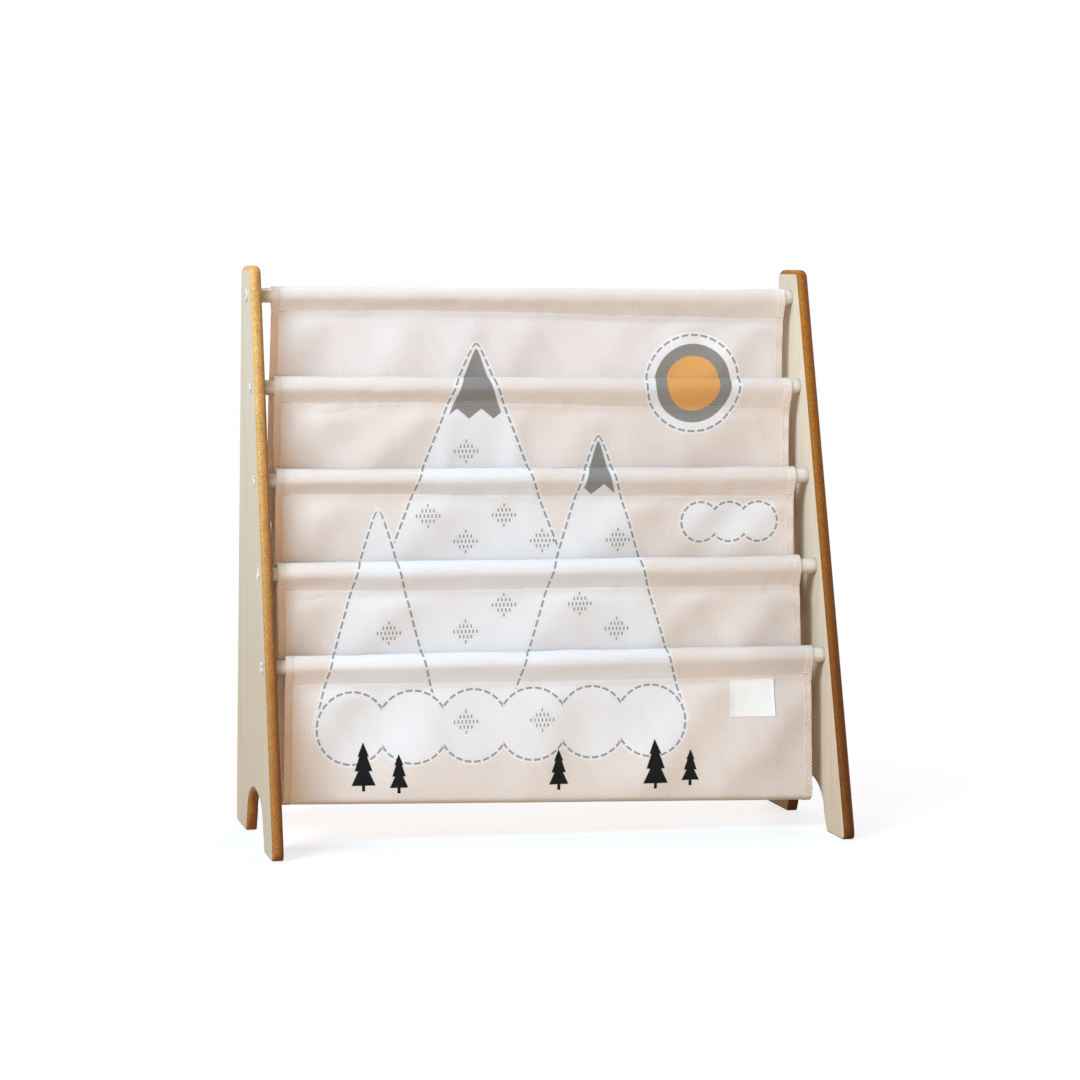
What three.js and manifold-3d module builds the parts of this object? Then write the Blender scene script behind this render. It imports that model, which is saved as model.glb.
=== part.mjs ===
// A child's sling bookshelf: two A-shaped side panels joined by five rods, and a cloth sling whose four
// deep pockets hang between the rods. Millimetres, +Z up, +X to the right and -Y to the front. The origin
// is on the floor, in the middle of the shelf.
import * as THREE from "three";
import { mergeVertices } from "three/addons/utils/BufferGeometryUtils.js";
import Module from "manifold-3d";

const wasm = await Module();
wasm.setup();

// Driving sizes of the whole shelf.
const shelfWidth = 625;
const panelHeight = 610;
const panelThickness = 12;
const panelDepth = 280;
const rodCount = 5;

// Side panel: its slanted edges, its two feet and the arch between them.
const panelTopDepth = 71;
const panelTopSetback = 177;
const panelTopFall = 1;
const topCornerRadius = 12;
const footCornerRadius = 10;
const archCornerRadius = 4;
const frontFootDepth = 64;
const rearFootDepth = 79;
const archHeight = 52;
const archShoulderHeight = 20;
const archShoulderInset = 14;
const edgeRound = 5.5;
const footEdgeRound = 1.5;

// Rods, and the shallow sockets that their ends sit in.
const rodDiameter = 16;
const rodChamfer = 0.8;
const rodPitch = 97;
const rodPitch_shares = [1.015, 1.005, 1, 0.975];
const topRodDrop = 32.5;
const topRodInset = 33;
const bottomRodInset = 25.5;
const socketDepth = 4;
const rodBoreDiameter = 9.8;
const rodBoreDepth = 24;

// Bolts through the panels, and the threaded inserts in the rod ends.
const boltShankDiameter = 6;
const boltLength = 30;
const boltHeadDiameter = 13.5;
const boltHeadHeight = 1.6;
const boltHeadRim = 0.6;
const hexAcrossFlats = 4;
const hexDepth = 2.2;
const insertDiameter = 9.2;
const insertLength = 14;
const insertRecess = 0.5;

// Clearance between pieces that seat on or in each other.
const fitGap = 0.3;
const cutOverrun = 2;

// Cloth sling. The sleeve of each pocket cloth goes round its rod and closes in a seam below it.
const clothThickness = 1;
const clothEndGap = 11.5;
const sleeveSlack = 0.3;
const layerGap = 0.3;
const seamDrop = 17.5;
const seamTail = 6;
const lapDrop = 1.2;
const pocketDrop = 151;
const pocketRound = 11;
const topPocketBelly = 6;
const backBelly = 5;
const backBellyStart = 140;
const frontBelly = 8;
const hangSkew = 7;
const foldDepth = 1.8;
const foldLean_share = 0.35;
const foldTurnPerRod = 1.3;
const endEase_share = 0.25;
const sleeveShifts = [3, 1.5, -1, -4, 0];

// Blank label sewn to the front of the lowest pocket.
const labelWidth = 49;
const labelHeight = 41;
const labelThickness = 0.8;
const labelRight = 45;
const labelDrop = 24;

// Numbers of facets.
const rodSides = 24;
const boltSides = 16;
const hexSides = 6;
const cornerSteps = 5;
const archSteps = 20;
const roundSteps = 3;
const sleeveSteps = 10;
const backSheetSteps = 8;
const pocketSteps = 8;
const frontSheetSteps = 5;
const clothStations = 8;
const labelSteps = 6;
const sharpestMitre_share = 0.5;

const materials = {
  panel: new THREE.MeshStandardMaterial({ color: 0xd8d0bc, roughness: 0.55, metalness: 0 }),
  rod: new THREE.MeshStandardMaterial({ color: 0xe2e0d6, roughness: 0.45, metalness: 0 }),
  bolt: new THREE.MeshStandardMaterial({ color: 0xdcdcda, roughness: 0.25, metalness: 1 }),
  insert: new THREE.MeshStandardMaterial({ color: 0xb9a46a, roughness: 0.35, metalness: 1 }),
  cloth: new THREE.MeshStandardMaterial({ color: 0xecd9cc, roughness: 0.9, metalness: 0 }),
  label: new THREE.MeshStandardMaterial({ color: 0xf2f0ec, roughness: 0.85, metalness: 0 }),
};

const halfWidth = shelfWidth / 2;
const halfDepth = panelDepth / 2;
const innerFace = halfWidth - panelThickness;
const clothWidth = 2 * (innerFace - clothEndGap);
const pocketCount = rodCount - 1;

// Height of the panel's front edge is shared by its outline and the line of rods.
const frontTopY = panelTopSetback - halfDepth;
const frontTopZ = panelHeight - panelTopFall;
function frontEdgeY(z) {
  return -halfDepth + (panelTopSetback * z) / frontTopZ;
}

const rods = Array.from({ length: rodCount }, (_, i) => {
  const pitches = rodPitch_shares.slice(0, i).reduce((sum, share) => sum + share, 0);
  const z = panelHeight - topRodDrop - pitches * rodPitch;
  const inset = THREE.MathUtils.lerp(topRodInset, bottomRodInset, i / (rodCount - 1));
  return { y: frontEdgeY(z) + inset, z };
});

// Points of an elliptical arc in the Y-Z plane, both ends included.
function arc(centre, radiusY, radiusZ, from, to, steps) {
  return Array.from({ length: steps + 1 }, (_, i) => {
    const angle = THREE.MathUtils.lerp(from, to, i / steps);
    return new THREE.Vector2(centre.x + radiusY * Math.cos(angle), centre.y + radiusZ * Math.sin(angle));
  });
}

// Rounds the corner between two straight edges with a tangent arc.
function roundedCorner(before, corner, after, radius) {
  const back = before.clone().sub(corner).normalize();
  const on = after.clone().sub(corner).normalize();
  const half = Math.acos(THREE.MathUtils.clamp(back.dot(on), -1, 1)) / 2;
  const middle = back.clone().add(on).normalize();
  const centre = corner.clone().addScaledVector(middle, radius / Math.sin(half));
  const start = corner.clone().addScaledVector(back, radius / Math.tan(half)).sub(centre);
  const end = corner.clone().addScaledVector(on, radius / Math.tan(half)).sub(centre);
  const turn = Math.atan2(start.cross(end), start.dot(end));
  return arc(centre, radius, radius, start.angle(), start.angle() + turn, cornerSteps);
}

// Outline of a side panel in the Y-Z plane, counter-clockwise, each point with the round of its edge.
function panelOutline() {
  const frontFoot = new THREE.Vector2(-halfDepth, 0);
  const archFront = new THREE.Vector2(-halfDepth + frontFootDepth, 0);
  const archRear = new THREE.Vector2(halfDepth - rearFootDepth, 0);
  const rearFoot = new THREE.Vector2(halfDepth, 0);
  const rearTop = new THREE.Vector2(frontTopY + panelTopDepth, panelHeight);
  const frontTop = new THREE.Vector2(frontTopY, frontTopZ);
  const archMiddle = new THREE.Vector2((archFront.x + archRear.x) / 2, archShoulderHeight);
  const shoulder = (archRear.x - archFront.x) / 2 - archShoulderInset;
  const shoulderFront = new THREE.Vector2(archMiddle.x - shoulder, archShoulderHeight);
  const shoulderRear = new THREE.Vector2(archMiddle.x + shoulder, archShoulderHeight);
  const crown = arc(archMiddle, shoulder, archHeight - archShoulderHeight, Math.PI, 0, archSteps);
  const stretches = [
    roundedCorner(frontTop, frontFoot, archFront, footCornerRadius),
    roundedCorner(frontFoot, archFront, shoulderFront, archCornerRadius),
    crown,
    roundedCorner(shoulderRear, archRear, rearFoot, archCornerRadius),
    roundedCorner(archRear, rearFoot, rearTop, footCornerRadius),
    roundedCorner(rearFoot, rearTop, frontTop, topCornerRadius),
    roundedCorner(rearTop, frontTop, frontFoot, topCornerRadius),
  ];
  return stretches.flat().map((point) => {
    const rise = THREE.MathUtils.smoothstep(point.y, 0, footCornerRadius);
    return { point, round: THREE.MathUtils.lerp(footEdgeRound, edgeRound, rise) };
  });
}

// Indexed triangles as a geometry.
function geometryFrom(positions, triangles) {
  const geometry = new THREE.BufferGeometry();
  geometry.setAttribute("position", new THREE.Float32BufferAttribute(positions, 3));
  geometry.setIndex(triangles);
  return geometry;
}

// A board with the outline's shape, centred on X = 0, whose edges are rounded over on both faces.
function roundedBoard(outline, thickness) {
  const count = outline.length;
  const inward = outline.map(({ point }, i) => {
    const before = outline[(i + count - 1) % count].point;
    const after = outline[(i + 1) % count].point;
    const a = point.clone().sub(before).normalize();
    const b = after.clone().sub(point).normalize();
    const along = a.clone().add(b).normalize();
    const stretch = 1 / Math.max(along.dot(a), sharpestMitre_share);
    return new THREE.Vector2(-along.y, along.x).multiplyScalar(stretch);
  });
  const positions = [];
  const rings = 2 * (roundSteps + 1);
  for (let ring = 0; ring < rings; ring++) {
    const side = ring <= roundSteps ? -1 : 1;
    const step = side < 0 ? ring : rings - 1 - ring;
    const turn = (step / roundSteps) * (Math.PI / 2);
    outline.forEach(({ point, round }, i) => {
      const p = point.clone().addScaledVector(inward[i], round * (1 - Math.sin(turn)));
      const x = side * (thickness / 2 - round * (1 - Math.cos(turn)));
      positions.push(x, p.x, p.y);
    });
  }
  const triangles = [];
  for (let ring = 0; ring < rings - 1; ring++) {
    for (let i = 0; i < count; i++) {
      const next = (i + 1) % count;
      const a = ring * count + i;
      const b = ring * count + next;
      triangles.push(a, b, a + count, b, b + count, a + count);
    }
  }
  const lastRing = (rings - 1) * count;
  const face = Array.from({ length: count }, (_, i) => {
    return new THREE.Vector2(positions[3 * i + 1], positions[3 * i + 2]);
  });
  THREE.ShapeUtils.triangulateShape(face, []).forEach(([a, b, c]) => {
    triangles.push(a, c, b, lastRing + a, lastRing + b, lastRing + c);
  });
  return geometryFrom(positions, triangles);
}

// A closed geometry as a solid for joining and cutting, and a solid as a geometry.
function solidFrom(geometry) {
  const bare = geometry.clone();
  bare.deleteAttribute("normal");
  bare.deleteAttribute("uv");
  const merged = mergeVertices(bare);
  const vertProperties = merged.attributes.position.array;
  return new wasm.Manifold(
    new wasm.Mesh({ numProp: 3, vertProperties, triVerts: new Uint32Array(merged.index.array) }),
  );
}

function geometryOf(solid) {
  const mesh = solid.getMesh();
  return geometryFrom(Array.from(mesh.vertProperties), Array.from(mesh.triVerts));
}

// A cylinder along X, from one X to another, at a place in the Y-Z plane.
function cylinderAlongX(fromX, toX, radius, sides, place) {
  const geometry = new THREE.CylinderGeometry(radius, radius, Math.abs(toX - fromX), sides);
  geometry.rotateZ(Math.PI / 2);
  geometry.translate((fromX + toX) / 2, place.y, place.z);
  return geometry;
}

// A turned piece along X. The profile's points are (radius, distance along the axis).
function turnedAlongX(profile, sides) {
  const geometry = new THREE.LatheGeometry(
    profile.map(([radius, along]) => new THREE.Vector2(radius, along)),
    sides,
  );
  geometry.rotateZ(-Math.PI / 2);
  return geometry;
}

// Side panel with five rod sockets in its inner face and a bolt hole through each. Side is -1 or 1.
function sidePanelGeometry(side) {
  const board = roundedBoard(panelOutline(), panelThickness);
  board.translate(side * (halfWidth - panelThickness / 2), 0, 0);
  const socketRadius = rodDiameter / 2 + fitGap;
  const holeRadius = boltShankDiameter / 2 + fitGap;
  const from = side * (innerFace - cutOverrun);
  const socketEnd = side * (innerFace + socketDepth);
  const holeEnd = side * (halfWidth + cutOverrun);
  const cuts = rods.flatMap((rod) => [
    cylinderAlongX(from, socketEnd, socketRadius, rodSides, rod),
    cylinderAlongX(from, holeEnd, holeRadius, boltSides, rod),
  ]);
  const solid = cuts.reduce((left, cut) => left.subtract(solidFrom(cut)), solidFrom(board));
  return geometryOf(solid);
}

// Turned rod with a blind bore in each end for the threaded insert.
function rodGeometry() {
  const end = innerFace + socketDepth - fitGap;
  const radius = rodDiameter / 2;
  const bore = rodBoreDiameter / 2;
  return turnedAlongX(
    [
      [0, -end + rodBoreDepth],
      [bore, -end + rodBoreDepth],
      [bore, -end],
      [radius - rodChamfer, -end],
      [radius, -end + rodChamfer],
      [radius, end - rodChamfer],
      [radius - rodChamfer, end],
      [bore, end],
      [bore, end - rodBoreDepth],
      [0, end - rodBoreDepth],
    ],
    rodSides,
  );
}

// Threaded insert, with its mouth at X = 0 and its body towards -X.
function insertGeometry() {
  const bore = boltShankDiameter / 2 + fitGap;
  const body = insertDiameter / 2;
  return turnedAlongX(
    [
      [bore, -insertLength],
      [body, -insertLength],
      [body, 0],
      [bore, 0],
      [bore, -insertLength],
    ],
    boltSides,
  );
}

// Bolt with a low domed head and a hex socket. The head's underside is at X = 0, its shank towards -X.
function boltGeometry() {
  const shank = boltShankDiameter / 2;
  const head = boltHeadDiameter / 2;
  const dome = Array.from({ length: roundSteps }, (_, i) => {
    const turn = ((i + 1) / roundSteps) * (Math.PI / 2);
    const rise = (boltHeadHeight - boltHeadRim) * Math.sin(turn);
    return [head * Math.cos(turn), boltHeadRim + rise];
  });
  dome[dome.length - 1][0] = 0;
  const turned = turnedAlongX(
    [
      [0, -boltLength],
      [shank, -boltLength],
      [shank, 0],
      [head, 0],
      [head, boltHeadRim],
      ...dome,
    ],
    boltSides,
  );
  const hexRadius = hexAcrossFlats / 2 / Math.cos(Math.PI / hexSides);
  const floor = boltHeadHeight - hexDepth;
  const onAxis = { y: 0, z: 0 };
  const socket = cylinderAlongX(floor, boltHeadHeight + cutOverrun, hexRadius, hexSides, onAxis);
  return geometryOf(solidFrom(turned).subtract(solidFrom(socket)));
}

// Sewn sleeve round a rod, as the cloth's middle line: up behind the rod, over it and down to the seam.
const layerOffset = (clothThickness + layerGap) / 2;
const sleeveRadius = rodDiameter / 2 + sleeveSlack + clothThickness / 2;
function sleevePath(rod) {
  const centre = new THREE.Vector2(rod.y, rod.z);
  const reach = Math.hypot(layerOffset, seamDrop);
  const spread = Math.acos(sleeveRadius / reach);
  const lean = Math.atan2(layerOffset, seamDrop);
  const rear = -Math.PI / 2 + lean + spread;
  const front = (3 * Math.PI) / 2 - lean - spread;
  return [
    new THREE.Vector2(rod.y + layerOffset, rod.z - seamDrop - seamTail),
    new THREE.Vector2(rod.y + layerOffset, rod.z - seamDrop),
    ...arc(centre, sleeveRadius, sleeveRadius, rear, front, sleeveSteps),
    new THREE.Vector2(rod.y - layerOffset, rod.z - seamDrop),
  ];
}

// Soft diagonal folds, shared by the two sheets that hang from one rod, so that they keep their distance.
function fold(rodIndex, across, drop, length) {
  const down = THREE.MathUtils.clamp((drop - seamDrop) / (length - seamDrop), 0, 1);
  const swell = Math.sin(Math.PI * down);
  const turn = 2 * Math.PI * (across + foldLean_share * down) + foldTurnPerRod * rodIndex;
  return foldDepth * swell * Math.sin(turn);
}

// Middle line of a pocket's cloth at a place across the shelf, from -1 at the left to 1 at the right: its
// sleeve on the upper rod, the sheet down the pocket's back, the rounded bottom and the sheet up its front.
function pocketPath(index, across) {
  const upper = rods[index];
  const lower = rods[index + 1];
  const isFirst = index === 0;
  const isLast = index === pocketCount - 1;
  const bottomZ = lower.z - pocketDrop - hangSkew * across;
  const turnZ = bottomZ + pocketRound;
  const backLength = upper.z - turnZ;
  const frontLength = lower.z - turnZ;
  const backTopY = upper.y - layerOffset;
  const lapOffset = layerOffset + clothThickness + layerGap;
  const frontTop = lower.y + (isLast ? -layerOffset : lapOffset);
  const frontDrop = isLast ? seamDrop : seamDrop + lapDrop;
  const swell = 1 - endEase_share * across * across;
  const bellyOfBack = (isFirst ? topPocketBelly : backBelly) * swell;
  const bellyOfFront = (isLast ? frontBelly : 0) * swell;
  const bellyStart = isFirst ? seamDrop : backBellyStart;
  const back = Array.from({ length: backSheetSteps }, (_, i) => {
    const drop = THREE.MathUtils.lerp(seamDrop, backLength, (i + 1) / backSheetSteps);
    const out = bellyOfBack * THREE.MathUtils.smoothstep(drop, bellyStart, backLength);
    const y = backTopY + out + fold(index, across, drop, frontLength);
    return new THREE.Vector2(y, upper.z - drop);
  });
  const front = Array.from({ length: frontSheetSteps + 1 }, (_, i) => {
    const drop = THREE.MathUtils.lerp(frontLength, frontDrop, i / frontSheetSteps);
    const out = bellyOfFront * THREE.MathUtils.smoothstep(drop, seamDrop, frontLength);
    const y = frontTop - out + fold(index + 1, across, drop, frontLength);
    return new THREE.Vector2(y, lower.z - drop);
  });
  const backEnd = back[back.length - 1];
  const middle = new THREE.Vector2((backEnd.x + front[0].x) / 2, turnZ);
  const halfGap = (backEnd.x - front[0].x) / 2;
  const bend = arc(middle, halfGap, -pocketRound, 0, Math.PI, pocketSteps).slice(1, -1);
  const sleeveEnd = isLast ? sleevePath(lower).reverse().slice(1) : [];
  return [...sleevePath(upper), ...back, ...bend, ...front, ...sleeveEnd];
}

// A sheet of even thickness about a grid of middle lines: one list of Y-Z points at each X station.
function sheetGeometry(lines, xOf, thickness) {
  const length = lines[0].length;
  const positions = [];
  lines.forEach((line, station) => {
    for (const side of [1, -1]) {
      line.forEach((point, i) => {
        const before = line[Math.max(i - 1, 0)];
        const after = line[Math.min(i + 1, length - 1)];
        const a = point.clone().sub(before).normalize();
        const b = after.clone().sub(point).normalize();
        const along = a.clone().add(b).normalize();
        const mitre = i > 0 && i < length - 1 ? along.dot(a) : 1;
        const off = (side * thickness) / 2 / Math.max(mitre, sharpestMitre_share);
        positions.push(xOf(station, i), point.x - along.y * off, point.y + along.x * off);
      });
    }
  });
  const at = (station, side, i) => (station * 2 + side) * length + i;
  const triangles = [];
  const quad = (a, b, c, d) => triangles.push(a, b, c, a, c, d);
  for (let s = 0; s < lines.length - 1; s++) {
    for (let i = 0; i < length - 1; i++) {
      quad(at(s, 0, i), at(s + 1, 0, i), at(s + 1, 0, i + 1), at(s, 0, i + 1));
      quad(at(s, 1, i), at(s, 1, i + 1), at(s + 1, 1, i + 1), at(s + 1, 1, i));
    }
    quad(at(s, 0, 0), at(s, 1, 0), at(s + 1, 1, 0), at(s + 1, 0, 0));
    quad(at(s, 0, length - 1), at(s + 1, 0, length - 1), at(s + 1, 1, length - 1), at(s, 1, length - 1));
  }
  const last = lines.length - 1;
  for (let i = 0; i < length - 1; i++) {
    quad(at(0, 0, i), at(0, 0, i + 1), at(0, 1, i + 1), at(0, 1, i));
    quad(at(last, 0, i), at(last, 1, i), at(last, 1, i + 1), at(last, 0, i + 1));
  }
  return geometryFrom(positions, triangles);
}

// Middle lines of one pocket's cloth at even stations across the shelf.
function pocketLines(index) {
  const stations = Array.from({ length: clothStations + 1 }, (_, s) => (2 * s) / clothStations - 1);
  return stations.map((across) => pocketPath(index, across));
}

// One pocket's cloth. Its sleeves sit a little to one side of each other, as sewn cloth does on its rods.
function pocketGeometry(index) {
  const lines = pocketLines(index);
  const length = lines[0].length;
  const xOf = (station, i) => {
    const shift = THREE.MathUtils.lerp(sleeveShifts[index], sleeveShifts[index + 1], i / (length - 1));
    return clothWidth * (station / clothStations - 1 / 2) + shift;
  };
  return sheetGeometry(lines, xOf, clothThickness);
}

// Label that lies on the front of the lowest pocket and follows its curve.
function labelGeometry() {
  const lower = rods[rodCount - 1];
  const sheets = pocketLines(pocketCount - 1).map((line) => {
    return line.filter((p) => p.x < lower.y && p.y < lower.z).reverse();
  });
  const sheetY = (sheet, z) => {
    const k = Math.max(1, sheet.findIndex((p) => p.y <= z));
    return THREE.MathUtils.mapLinear(z, sheet[k - 1].y, sheet[k].y, sheet[k - 1].x, sheet[k].x);
  };
  const right = clothWidth / 2 - labelRight;
  const xAt = (station) => right - labelWidth + (labelWidth * station) / labelSteps;
  const standOff = (clothThickness + labelThickness) / 2 + fitGap;
  const lines = Array.from({ length: labelSteps + 1 }, (_, station) => {
    const place = (xAt(station) / clothWidth + 1 / 2) * clothStations;
    const s = Math.floor(place);
    return Array.from({ length: labelSteps + 1 }, (_, i) => {
      const z = lower.z - labelDrop - (labelHeight * i) / labelSteps;
      const y = THREE.MathUtils.lerp(sheetY(sheets[s], z), sheetY(sheets[s + 1], z), place - s);
      return new THREE.Vector2(y - standOff, z);
    });
  });
  return sheetGeometry(lines, xAt, labelThickness);
}

function part(name, geometry, material) {
  const mesh = new THREE.Mesh(geometry, material);
  mesh.name = name;
  return mesh;
}

const shelf = new THREE.Group();
const sides = [
  { name: "left", side: -1 },
  { name: "right", side: 1 },
];
for (const { name, side } of sides) {
  shelf.add(part(`side_panel_${name}`, sidePanelGeometry(side), materials.panel));
}
const rodEnd = innerFace + socketDepth - fitGap;
rods.forEach((rod, i) => {
  const level = i + 1;
  const piece = part(`rod_${level}`, rodGeometry(), materials.rod);
  piece.position.set(0, rod.y, rod.z);
  shelf.add(piece);
  for (const { name, side } of sides) {
    const fixing = new THREE.Group();
    fixing.position.set(0, rod.y, rod.z);
    fixing.rotation.z = side > 0 ? 0 : Math.PI;
    const insert = part(`insert_${name}_${level}`, insertGeometry(), materials.insert);
    insert.position.x = rodEnd - insertRecess;
    const bolt = part(`bolt_${name}_${level}`, boltGeometry(), materials.bolt);
    bolt.position.x = halfWidth + fitGap;
    fixing.add(insert, bolt);
    shelf.add(fixing);
  }
});
for (let index = 0; index < pocketCount; index++) {
  shelf.add(part(`pocket_cloth_${index + 1}`, pocketGeometry(index), materials.cloth));
}
shelf.add(part("label", labelGeometry(), materials.label));

export default shelf;
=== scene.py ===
import math
from functools import partialmethod, reduce

import bpy
import numpy as np
from mathutils import Matrix, Vector, noise


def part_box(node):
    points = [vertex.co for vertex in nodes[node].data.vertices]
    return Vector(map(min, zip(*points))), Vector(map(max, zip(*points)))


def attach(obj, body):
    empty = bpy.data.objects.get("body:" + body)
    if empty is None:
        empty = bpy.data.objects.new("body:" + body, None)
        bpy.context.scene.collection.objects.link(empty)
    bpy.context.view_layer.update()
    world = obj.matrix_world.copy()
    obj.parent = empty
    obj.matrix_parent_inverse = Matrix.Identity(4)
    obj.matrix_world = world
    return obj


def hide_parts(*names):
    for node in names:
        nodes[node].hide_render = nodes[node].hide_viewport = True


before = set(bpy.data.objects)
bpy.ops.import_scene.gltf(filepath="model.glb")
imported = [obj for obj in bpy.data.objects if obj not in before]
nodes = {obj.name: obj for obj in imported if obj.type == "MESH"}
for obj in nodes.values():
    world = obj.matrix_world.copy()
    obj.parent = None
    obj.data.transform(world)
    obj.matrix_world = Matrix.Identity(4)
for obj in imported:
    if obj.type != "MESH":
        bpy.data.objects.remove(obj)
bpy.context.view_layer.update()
MM = 0.001

# Camera, solved from the photograph's 1080 by 1080 pixels.
IMAGE_SIZE = 1080
FOCAL_PIXELS = 3019.3
OPTICAL_AXIS_Y = 393.9
CAMERA_YAW = 0.23532
CAMERA_PITCH = 0.02875
CAMERA_ROLL = -0.00453
CAMERA_PLACE = Vector((-762.5, -3169.0, 566.2)) * MM
SENSOR_WIDTH = 36.0

# Lamps: place, width, power in watts and colour. All of them point at the shelf's middle.
LAMP_AIM = Vector((0, 0, 0.3))
LAMPS = {
    "key_side": ((-3.8, -2.2, 2.8), 1.8, 216, (0.709, 0.857, 1)),
    "key_front": ((-2.8, -3, 2.9), 1.8, 170, (0.501, 0.775, 1)),
    "back": ((2, 4.4, 2.1), 1.8, 106, (0.902, 0.919, 1)),
    "top_back": ((0.3, 1.4, 4.2), 2.2, 105, (1, 0.84, 0.77)),
    "low_fill": ((1.8, -4.8, 0.7), 2.4, 52, (1, 0.777, 0.646)),
    "front_fill": ((-1.2, -4.8, 0.8), 2, 91, (1, 0.712, 0.421)),
    "right_fill": ((4.2, 0.4, 1.8), 2, 95, (0.66, 0.84, 1)),
}

# Floor and background.
AMBIENT_COLOUR = (1, 0.8, 0.7, 1)
AMBIENT_STRENGTH = 0.01
WHITE = (1, 1, 1, 1)
FLOOR_REACH = 12
FLOOR_BOUNCE = (0.4, 0.33, 0.26, 1)
FLOOR_WHITE = (0.95, 0.95, 0.95, 1)
FLOOR_FADE = (0.3, 0.75)
FLOOR_GLOW_SHARE = 0.72

# Frame surfaces.
SMOOTH_ANGLE = math.radians(38)
SMOOTH_MERGE = 0.005 * MM
BARE_EDGE = (0.04 * MM, 0.13 * MM)
BARE_EDGE_WAVER = 0.12 * MM
# Heights, in metres, over which painted shade at the panels' feet gives way to painted light higher up, on
# faces and edges.
PANEL_RISE = (0, 0.6)
LIT_EDGE = (-7 * MM, -11 * MM)
SHADED_EDGE = (-5 * MM, -1 * MM)
SOCKET_SHADE = (1.8 * MM, 0.2 * MM)
SOCKET_SHADE_DEPTH = 0.5 * MM
ROD_END_SHADE = 6 * MM
# Reach of the painted shade over the rods' left ends.
ROD_LEFT_SHADE = (16 * MM, 5 * MM)
BOARD_RELIEF = 0.12 * MM
ROD_RELIEF = 0.08 * MM
STEEL_RELIEF = 0.03 * MM
BRASS_RELIEF = 0.05 * MM

# Sling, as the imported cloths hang.
CLOTH_THICKNESS = 0.7 * MM
HEM_THICKNESS = 1.5 * MM
HEM_WIDTH = 8.2 * MM
HEM_STEP = 0.3 * MM
HEM_EDGE = 0.7 * MM
SLEEVE_SLACK = 0.8 * MM
LAYER_OFFSET = 0.65 * MM
LAP_OFFSET = 1.95 * MM
LAP_DROP = 1.2 * MM
SEAM_DROP = 17.5 * MM
SEAM_TAIL = 6 * MM
SEAM_LIP = 0.18 * MM
SEAM_LIP_REACH = 2.5 * MM
POCKET_DROP = 151 * MM
POCKET_ROUND = 11 * MM
BOTTOM_SQUARENESS = 0.6
TOP_POCKET_BELLY = 6 * MM
BACK_BELLY = 5 * MM
BACK_BELLY_START = 140 * MM
FRONT_BELLY = 8 * MM
END_EASE = 0.25
HANG_SKEW = 7 * MM
HANG_FLARE = 1.3 * MM
FLARE_DROP = 130 * MM
TOP_POCKET_DRIFT = -1.2 * MM
LEFT_SHIFTS = np.array([3, 1, -0.8, -4.7, 0.8]) * MM
RIGHT_SHIFTS = np.array([3, 1.5, -2.8, -7.5, -0.8]) * MM
PACKED_SHIFT = 1.5 * MM
PRINT_OVERLAP = 45 * MM
SHEET_SHARP_ANGLE = math.radians(60)

# Relief of the cloth.
FOLD_DEPTH = 1.8 * MM
FOLD_LEAN = 0.35
FOLD_TURN_PER_ROD = 1.3
FOLD_FADE = 22 * MM
CRINKLE_DEPTH = 1.6 * MM
PUCKER_DEPTH = 0.7 * MM
PUCKER_REACH = 9 * MM
SLEEVE_WAVE = 1.2 * MM
SLEEVE_SINK = -0.2 * MM
SLEEVE_WAVE_FADE = 12 * MM
SEAM_WAVE = 0.5 * MM
SEAM_PULL_REACH = 14 * MM
SEAM_FILL = 0.7 * MM
SEAM_FILL_REACH = 3.2 * MM
STITCH_SINK = 0.35 * MM
STITCH_SINK_REACH = 0.6 * MM

# Rows along the cloth and stations across it. The first and last few rows have no print or hem stitches.
SLEEVE_ROWS = 34
WALL_ROWS = 7
LIP_ROWS = np.array([0.4, 1.0, 2.0, 3.4]) * MM
LIP_END = 6 * MM
BACK_ROWS = 100
FRONT_ROWS = 50
BOTTOM_ROWS = 24
TAIL_ROWS = 8
FIRST_STITCHED_ROW = 12
HEM_STATIONS = np.array([0, 0.15, 0.35, 0.7, 1.4, 2.6, 4, 5.4, 6.5, 7, 7.5, 7.9, 8.2, 8.6, 9.4, 11]) * MM
MIDDLE_STATIONS = 136
MIDDLE_START = 14.5 * MM

# How far each sleeve's top stands off its rod at the left and at the right, and how far its seam sags at five
# even places from the left to the right, millimetres.
SLEEVE_STANDS = [(0, 0), (2.8, 0), (2.2, 0.8), (2.4, 2), (3, 2.2)]
SEAM_SAGS = [
    (0.8, -1.6, 0.6, 4, 6.4), (-0.4, -0.8, 1.4, 6.4, 7.5), (-2.2, -0.6, 2.4, 3.8, 4.4),
    (-0.4, 3, 2.6, 3.8, 3.4), (0.9, 3, 4.6, 5, 3.6),
]

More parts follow.
